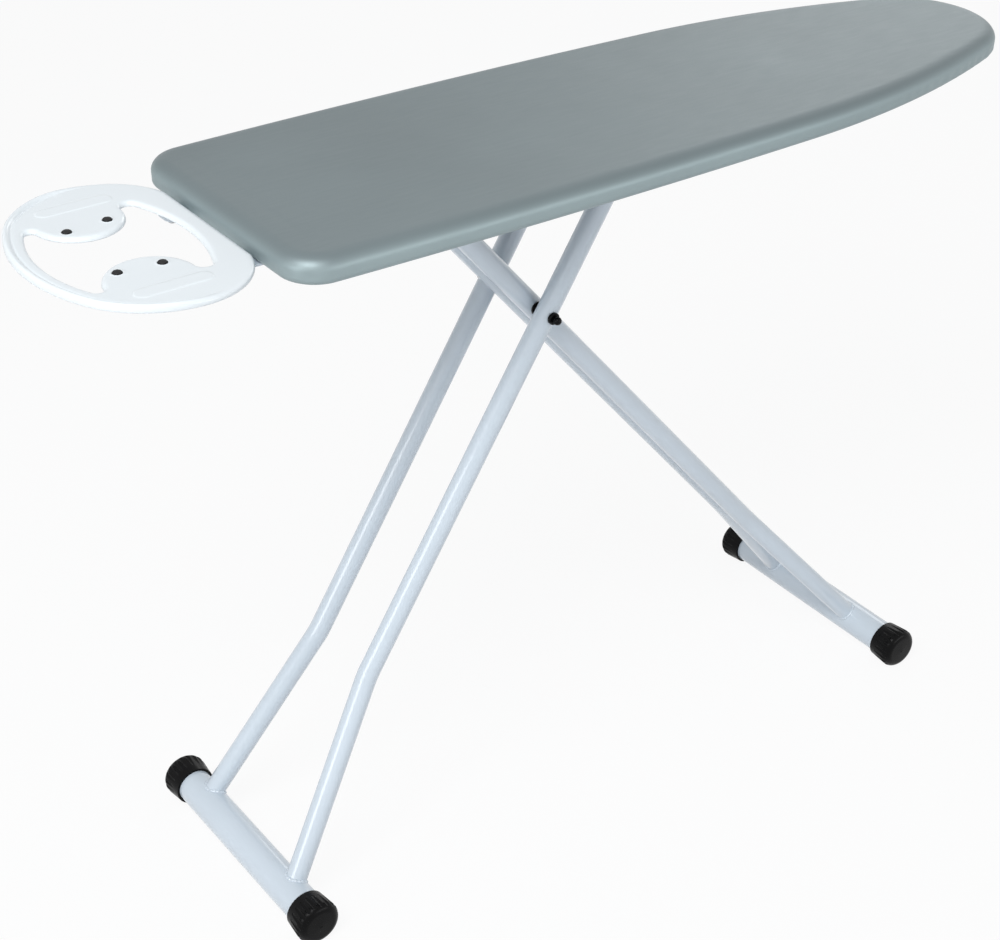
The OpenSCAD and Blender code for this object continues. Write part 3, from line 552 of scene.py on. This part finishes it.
def rest_outline():
    r1, r2, r3, rc = 0.66 * REST_W, 0.37 * REST_W, 0.277 * REST_W, 0.012
    half_w = REST_W / 2
    turn = math.asin((half_w - r2) / (r1 - r2))
    c1 = (r1, 0.0)
    c2 = (r1 - (r1 - r2) * math.cos(turn), half_w - r2)
    c3 = (c2[0], half_w - r3)
    dx = REST_L - rc - c3[0]
    cc = (REST_L - rc, c3[1] + math.sqrt((r3 - rc) ** 2 - dx ** 2))
    th = math.atan2(cc[1] - c3[1], dx)
    n = round(cc[1] / 0.0025)
    half = [(REST_L, cc[1] * i / n, 1.0, 0.0) for i in range(n)]
    half += arc_points(cc, rc, 0, th) + arc_points(c3, r3, th, math.pi / 2)
    half += arc_points(c2, r2, math.pi / 2, math.pi - turn)
    half += arc_points(c1, r1, math.pi - turn, math.pi) + [(0.0, 0.0, -1.0, 0.0)]
    return mirrored(half)


def meet(p, rp, q, rq, t):
    """Centre that is rp from p and rq from q, on side t of the line p q."""
    d = math.hypot(q[0] - p[0], q[1] - p[1])
    u = ((q[0] - p[0]) / d, (q[1] - p[1]) / d)
    a = (rp * rp - rq * rq + d * d) / (2 * d)
    h = t * math.sqrt(rp * rp - a * a)
    return p[0] + a * u[0] - h * u[1], p[1] + a * u[1] + h * u[0]


def rest_opening():
    """The opening's ring; its normals point into the material."""
    left_r, right_r, rear_r, front_r, ear_r = 0.150, 0.175, 0.0055, 0.0075, 0.0417
    left_c, right_c, ear = (0.018 + left_r, 0.0), (0.155 - right_r, 0.0), (0.0845, 0.0685)
    rear = meet(left_c, left_r - rear_r, ear, ear_r + rear_r, 1)
    front = meet(right_c, right_r - front_r, ear, ear_r + front_r, -1)
    a = math.atan2(front[1], front[0] - right_c[0])
    b = math.atan2(ear[1] - front[1], ear[0] - front[0]) % (2 * math.pi)
    c = math.atan2(rear[1] - ear[1], rear[0] - ear[0])
    e = math.atan2(ear[1] - rear[1], ear[0] - rear[0])
    f = math.atan2(rear[1], rear[0] - left_c[0])
    half = arc_points(right_c, right_r, 0, a) + arc_points(front, front_r, a, b)
    half += arc_points(ear, ear_r, b - math.pi, c if c < 0 else c - 2 * math.pi, True)
    half += arc_points(rear, rear_r, e, f) + arc_points(left_c, left_r, f, math.pi)
    return mirrored(half + [(0.018, 0.0, -1.0, 0.0)])


# Rows from the skirt's inside round its foot, over the bead and the groove to the flat:
# inset, height where the bead stands, height where it has run out, in mm
OUTER_ROWS = ((2.2, -3, -3), (2.0, -4.5, -4.5), (1.5, -5, -5), (0.8, -5, -5), (0.25, -4.75, -4.75),
              (0, -4.2, -4.2), (0, -2.8, -3.0), (0.12, -1.2, -2.1), (0.4, 0.2, -1.45),
              (0.9, 1.3, -0.95), (1.6, 2.1, -0.55), (2.4, 2.5, -0.3), (3.2, 2.6, -0.15),
              (4.0, 2.45, -0.06), (4.8, 2.0, -0.02), (5.5, 1.35, 0), (6.1, 0.6, 0), (6.6, -0.05, 0),
              (7.1, -0.5, 0), (7.8, -0.65, 0), (8.5, -0.45, 0), (9.1, -0.12, 0), (9.7, 0, 0))
INNER_ROWS = ((4.8, 0), (3.8, -0.1), (2.9, -0.35), (2.1, -0.8), (1.4, -1.4), (0.8, -2.1), (0.35, -2.9),
              (0.08, -3.8), (0.2, -4.6), (0.7, -5), (1.4, -5), (2.0, -4.5), (2.2, -3))
STUDS = ((0.064, 0.0465), (0.104, 0.050))
STADIUM = (0.064, 0.120, 0.091, 0.008)


def stadium_distance(x, y):
    x0, x1, yc, r = STADIUM
    return math.hypot(x - min(max(x, x0), x1), abs(y) - yc) - r


def rest_height(x, y):
    """Relief of the flat top: two embossed panels and a raised lip round each stud."""
    z = 0.0006 * (1 - smoothstep(-0.0011, 0.0011, stadium_distance(x, y)))
    for sx, sy in STUDS:
        d = math.hypot(x - sx, abs(y) - sy)
        z += 0.0005 * math.exp(-((d - 0.0056) / 0.0009) ** 2)
        if d < 0.00462:
            z = -0.002
    return z


def within(ring, x, y):
    """Whether a point lies inside a closed ring."""
    after = np.roll(ring, -1, axis=0)
    spans = (ring[:, 1] > y) != (after[:, 1] > y)
    with np.errstate(divide="ignore", invalid="ignore"):
        cross = (after[:, 0] - ring[:, 0]) * (y - ring[:, 1]) / (after[:, 1] - ring[:, 1]) + ring[:, 0]
    return bool(np.count_nonzero(spans & (x < cross)) % 2)


def fill_region(outer, inner, z_of, points=()):
    """Triangles between two closed rings, with the loose points between them worked in."""
    co = [Vector((x, y)) for x, y in outer] + [Vector((x, y)) for x, y in inner]
    n, m = len(outer), len(inner)
    edges = [(i, (i + 1) % n) for i in range(n)]
    edges += [(n + i, n + (i + 1) % m) for i in range(m)]
    rim, hole = np.array(outer), np.array(inner)
    for x, y in points:
        clear = min(np.hypot(rim[:, 0] - x, rim[:, 1] - y).min(),
                    np.hypot(hole[:, 0] - x, hole[:, 1] - y).min())
        if clear > 0.0012 and within(rim, x, y) and not within(hole, x, y):
            co.append(Vector((x, y)))
    found = delaunay_2d_cdt(co, edges, [], 1, 1e-7)
    verts = [Vector((v.x, v.y, z_of(v.x, v.y))) for v in found[0]]
    faces = []
    for f in found[2]:
        cx = sum(found[0][i].x for i in f) / len(f)
        cy = sum(found[0][i].y for i in f) / len(f)
        if not within(hole, cx, cy):
            faces.append(tuple(f))
    return verts, faces


def relief_points():
    """Loose points that follow the panels' edges and the studs' lips, with a grid between."""
    pts = []
    x0, x1, yc, r = STADIUM
    for sign in (1, -1):
        for d in (-0.0022, -0.0011, -0.0005, 0.0, 0.0005, 0.0011, 0.0022):
            rr = r + d
            for i in range(40):
                a = -math.pi / 2 + math.pi * i / 39
                pts.append((x1 + rr * math.cos(a), sign * yc + rr * math.sin(a)))
                pts.append((x0 - rr * math.cos(a), sign * yc + rr * math.sin(a)))
            for i in range(1, 28):
                x = x0 + (x1 - x0) * i / 28
                pts += [(x, sign * yc + rr), (x, sign * yc - rr)]
        for sx, sy in STUDS:
            for d in (0.0025, 0.0046, 0.00464, 0.0050, 0.0056, 0.0062, 0.0070, 0.0080):
                for i in range(36):
                    a = math.tau * (i + 0.5 * (d > 0.0047)) / 36
                    pts.append((sx + d * math.cos(a), sign * (sy + d * math.sin(a))))
            pts.append((sx, sign * sy))
    for i in range(60):
        for j in range(-50, 51):
            x, y = i * 0.0035, (j + 0.5 * (i % 2)) * 0.0035
            near = min(math.hypot(x - sx, abs(y) - sy) for sx, sy in STUDS)
            if near > 0.0095 and abs(stadium_distance(x, y)) > 0.0034:
                pts.append((x, y))
    return pts


def plan(ring):
    return [(v.x, v.y) for v in ring]


# Distance from the rest's rounded end over which the bead, and the groove inside it, run out
BEAD_FADE = (0.068, 0.132)
GROOVE_FADE = (0.045, 0.105)
UNDERSIDE_Z = -0.003
BOSS_Y = 0.058
BOSS_HALF = 0.008


def make_rest():
    """The moulding: skirt, bead, relief, opening and screw bosses."""
    outline, hole = rest_outline(), rest_opening()
    verts, faces = [], []

    def take(vs, fs):
        base = len(verts)
        verts.extend(vs)
        faces.extend(tuple(i + base for i in f) for f in fs)

    rings = []
    for d, z_bead, z_flat in OUTER_ROWS:
        ring = []
        for x, y, nx, ny in outline:
            k = 1 - smoothstep(*BEAD_FADE, x)
            groove = 1 - smoothstep(*GROOVE_FADE, x)
            z = z_bead * (k if z_bead >= 0 or d < 5 else groove) + z_flat * (1 - k)
            ring.append(Vector((x - nx * d * MM, y - ny * d * MM, z * MM)))
        rings.append(ring)
    take(*loft(rings))
    top_out, under_out = rings[-1], rings[0]
    rings = [[Vector((x + nx * d * MM, y + ny * d * MM, z * MM)) for x, y, nx, ny in hole]
             for d, z in INNER_ROWS]
    take(*loft(rings))
    top_in, under_in = rings[0], rings[-1]
    take(*fill_region(plan(top_out), plan(top_in), rest_height, relief_points()))
    take(*fill_region(plan(under_out), plan(under_in), lambda x, y: UNDERSIDE_Z))
    # oval screw bosses under the margin beside the board
    screw_lo, screw_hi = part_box("rest_screws")
    boss_low = screw_lo.z + 0.0022 + 0.0025 - REST_Z
    bx = (screw_lo.x + screw_hi.x) / 2 - REST_X
    for side in (-1, 1):
        rows = [(0.0042, boss_low), (0.0046, boss_low), (0.005, boss_low + 0.0005),
                (0.0052, -0.005), (0.0066, -0.0031)]
        rings = []
        for r, z in rows:
            rings.append([Vector((bx + r * math.cos(a), side * BOSS_Y + r * math.sin(a)
                                  + (BOSS_HALF if math.sin(a) > 0 else -BOSS_HALF), z))
                          for a in (math.tau * (i + 0.5) / 48 for i in range(48))])
        take(*loft(rings, cap_start=True))
    for v in verts:
        v.x += REST_X
        v.z += REST_Z
    ob = add_mesh("rest_moulding", verts, faces)
    finish_mesh(ob, 2e-6)
    ob.data.set_sharp_from_angle(angle=math.radians(50))
    ob.data.materials.append(REST_WHITE)
    return ob


rest = make_rest()
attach(rest, "board")
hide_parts("rest_plate")


# ------------------------------------------------------------ straps under the rest
def make_strap(name, node):
    """Flat strap with a bend, rounded corners and broken edges."""
    lo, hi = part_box(node)
    t, corner, edge = 0.0025, 0.009, 0.0004
    ramp_x0 = END_X + 0.0395
    ramp_x1 = ramp_x0 + 0.017
    yc, half = (lo.y + hi.y) / 2, (hi.y - lo.y) / 2
    rise = hi.z - lo.z - t
    near = [corner * (1 - math.cos(math.radians(a))) for a in range(0, 91, 9)]
    bend = np.linspace(ramp_x0 - 0.004, ramp_x1 + 0.004, 25)
    xs = [lo.x + d for d in near] + [float(x) for x in bend]
    xs += [hi.x - d for d in near[::-1]]
    rings = []
    for x in sorted(xs):
        d = min(x - lo.x, hi.x - x, corner)
        w = half - corner + math.sqrt(max(0.0, corner ** 2 - (corner - d) ** 2))
        climb = [min(1.0, max(0.0, (x + k * MM - ramp_x0) / (ramp_x1 - ramp_x0)))
                 for k in (-2, -1, 0, 1, 2)]
        z = lo.z + rise * sum(climb) / 5
        section = [(-w, edge), (-w + edge, 0), (w - edge, 0), (w, edge),
                   (w, t - edge), (w - edge, t), (-w + edge, t), (-w, t - edge)]
        rings.append([Vector((x, yc + a, z + b)) for a, b in section])
    ob = add_mesh(name, *loft(rings, cap_start=True, cap_end=True))
    finish_mesh(ob, 1e-7)
    ob.data.set_sharp_from_angle(angle=math.radians(30))
    ob.data.materials.append(WHITE_STEEL)
    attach(ob, "board")
    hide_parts(node)


make_strap("rest_strap_left", "rest_tongue_left")
make_strap("rest_strap_right", "rest_tongue_right")


# ------------------------------------------------------------ catch spring
def make_spring():
    """Compression spring with closed ends."""
    lo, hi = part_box("lever_spring")
    wire_r, turns, per_turn, sides, closed = 0.0006, 6.5, 24, 10, 0.9
    radius = (hi.x - lo.x) / 2 - wire_r
    cx = (lo.x + hi.x) / 2
    height = hi.z - lo.z - 2 * wire_r
    end_rise = closed * 2.1 * wire_r
    rings = []
    for i in range(round(turns * per_turn) + 1):
        turn = i / per_turn
        if turn < closed:
            z = end_rise * turn / closed
        elif turn > turns - closed:
            z = height - end_rise * (turns - turn) / closed
        else:
            z = end_rise + (height - 2 * end_rise) * (turn - closed) / (turns - 2 * closed)
        out = Vector((math.cos(math.tau * turn), math.sin(math.tau * turn), 0))
        c = Vector((cx, 0, lo.z + wire_r + z)) + out * radius
        rings.append([c + (out * math.cos(b) + Vector((0, 0, math.sin(b)))) * wire_r
                      for b in (math.tau * k / sides for k in range(sides))])
    ob = add_mesh("catch_spring", *loft(rings, cap_start=True, cap_end=True))
    finish_mesh(ob, 1e-7)
    ob.data.materials.append(ZINC)
    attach(ob, "board")
    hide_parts("lever_spring")
    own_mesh(ob)


make_spring()


# ------------------------------------------------------------ weld beads
BEAD_R = 0.0019
BEAD_RIPPLE = 0.00028


def weld_bead(name, body, foot_axis, foot_r, leg_point, leg_dir, leg_r):
    """A bead along the seam where a leg tube meets its foot tube, which runs along Y."""
    u = leg_dir.normalized()
    e1 = u.cross(Vector((0, 1, 0))).normalized()
    e2 = u.cross(e1)
    centre = []
    n = 120
    for i in range(n):
        a = math.tau * i / n
        p = leg_point + (e1 * math.cos(a) + e2 * math.sin(a)) * leg_r
        # distance along the leg from outside until the foot tube's surface is met
        ox, oz = p.x - foot_axis.x, p.z - foot_axis.z
        qa = u.x ** 2 + u.z ** 2
        qb = 2 * (ox * u.x + oz * u.z)
        qc = ox ** 2 + oz ** 2 - foot_r ** 2
        root = math.sqrt(max(0.0, qb * qb - 4 * qa * qc))
        t = (-qb - root) / (2 * qa)
        centre.append(p + u * t)
    verts, rings = [], []
    for i in range(n):
        c = centre[i]
        along = (centre[(i + 1) % n] - centre[i - 1]).normalized()
        out = Vector((c.x - foot_axis.x, 0, c.z - foot_axis.z)).normalized()
        side_dir = along.cross(out).normalized()
        rr = BEAD_R + BEAD_RIPPLE * math.sin(i * math.tau * 20 / n) + BEAD_RIPPLE * noise.noise(c * 300)
        rings.append([c + (out * math.sin(math.tau * k / 12) * 0.75
                           + side_dir * math.cos(math.tau * k / 12)) * rr for k in range(12)])
    rings.append(rings[0])
    vs, fs = loft(rings)
    ob = add_mesh(name, vs, fs)
    finish_mesh(ob, 1e-6)
    ob.data.materials.append(WHITE_STEEL)
    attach(ob, body)


LEG_R = 0.011
FOOT_R = 0.019
SPLAY_RUN = 0.234
# Lean from level, which way the leg runs down, half the gap between its tubes, splay at the foot
LEGS = {"inner": (math.radians(48.83), 1, 0.0216, 0.045),
        "outer": (math.radians(58.76), -1, 0.0461, 0.0403)}
for which, (lean, forward, half_gap, splay) in LEGS.items():
    foot_lo, foot_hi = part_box(f"{which}_foot_tube")
    axis = (foot_lo + foot_hi) / 2
    down = Vector((forward * math.cos(lean), 0, -math.sin(lean)))
    for tag, sign in (("left", 1), ("right", -1)):
        turn = math.atan2(splay, SPLAY_RUN)
        direction = down * math.cos(turn) + Vector((0, sign, 0)) * math.sin(turn)
        end = Vector((axis.x, sign * (half_gap + splay), axis.z))
        weld_bead(f"weld_{which}_{tag}", f"{which}_frame", axis, FOOT_R, end - direction * 0.1,
                  direction, LEG_R)


# ------------------------------------------------------------ light and floor
def area_light(name, energy, size, place, target):
    data = bpy.data.lights.new(name, "AREA")
    data.energy = energy
    data.shape = "RECTANGLE"
    data.size, data.size_y = size
    ob = bpy.data.objects.new(name, data)
    scene.collection.objects.link(ob)
    ob.location = place
    ob.rotation_euler = (Vector(target) - Vector(place)).to_track_quat("-Z", "Y").to_euler()


def seen_ray(nt):
    """1 for rays from the camera and for reflections, 0 for the light on the object."""
    path = nt.nodes.new("ShaderNodeLightPath")
    either = nt.nodes.new("ShaderNodeMath")
    either.operation = "MAXIMUM"
    link(nt, path.outputs["Is Camera Ray"], either.inputs[0])
    link(nt, path.outputs["Is Glossy Ray"], either.inputs[1])
    return either.outputs["Value"]


FLOOR_HALF = 8
FLOOR_GLOW = 0.92


def make_stage():
    """A pale floor that shows near white itself but lights the object plainly, and the world."""
    me = bpy.data.meshes.new("floor")
    f = FLOOR_HALF
    me.from_pydata([(-f, -f, 0), (f, -f, 0), (f, f, 0), (-f, f, 0)], [], [(0, 1, 2, 3)])
    floor = bpy.data.objects.new("floor", me)
    scene.collection.objects.link(floor)
    m, nt, bs = new_material("floor_paper")
    bs.inputs["Base Color"].default_value = (0.78, 0.79, 0.80, 1)
    bs.inputs["Roughness"].default_value = 0.9
    glow = nt.nodes.new("ShaderNodeEmission")
    glow.inputs["Color"].default_value = (1, 1, 1, 1)
    mix = nt.nodes.new("ShaderNodeMixShader")
    part = nt.nodes.new("ShaderNodeMath")
    part.operation = "MULTIPLY"
    part.inputs[1].default_value = FLOOR_GLOW
    link(nt, seen_ray(nt), part.inputs[0])
    link(nt, part.outputs["Value"], mix.inputs["Fac"])
    link(nt, bs.outputs["BSDF"], mix.inputs[1])
    link(nt, glow.outputs["Emission"], mix.inputs[2])
    link(nt, mix.outputs["Shader"], nt.nodes["Material Output"].inputs["Surface"])
    me.materials.append(m)
    world = bpy.data.worlds.new("studio")
    scene.world = world
    world.use_nodes = True
    nt = world.node_tree
    bg = nt.nodes["Background"]
    bg.inputs["Color"].default_value = (0.88, 0.91, 0.95, 1)
    bg.inputs["Strength"].default_value = 0.29
    white = nt.nodes.new("ShaderNodeBackground")
    white.inputs["Color"].default_value = (1, 1, 1, 1)
    mix = nt.nodes.new("ShaderNodeMixShader")
    link(nt, seen_ray(nt), mix.inputs["Fac"])
    link(nt, bg.outputs["Background"], mix.inputs[1])
    link(nt, white.outputs["Background"], mix.inputs[2])
    link(nt, mix.outputs["Shader"], nt.nodes["World Output"].inputs["Surface"])


# Name, watts, size, place, and the point that it faces
LAMPS = (("key", 86, (1.7, 1.7), (-1.9, -1.2, 3.0), (0, 0, 0.5)),
         ("side_low", 16, (1.2, 0.9), (-3.0, -0.5, 1.0), (-0.3, 0, 0.65)),
         ("front_low", 24, (2.8, 0.8), (1.5, -3.0, 1.1), (0.1, 0, 0.7)),
         ("back", 13, (1.6, 1.1), (3.1, 2.3, 2.0), (0.3, 0, 0.75)))

make_stage()
for lamp in LAMPS:
    area_light(*lamp)
scene.view_settings.view_transform = "Standard"
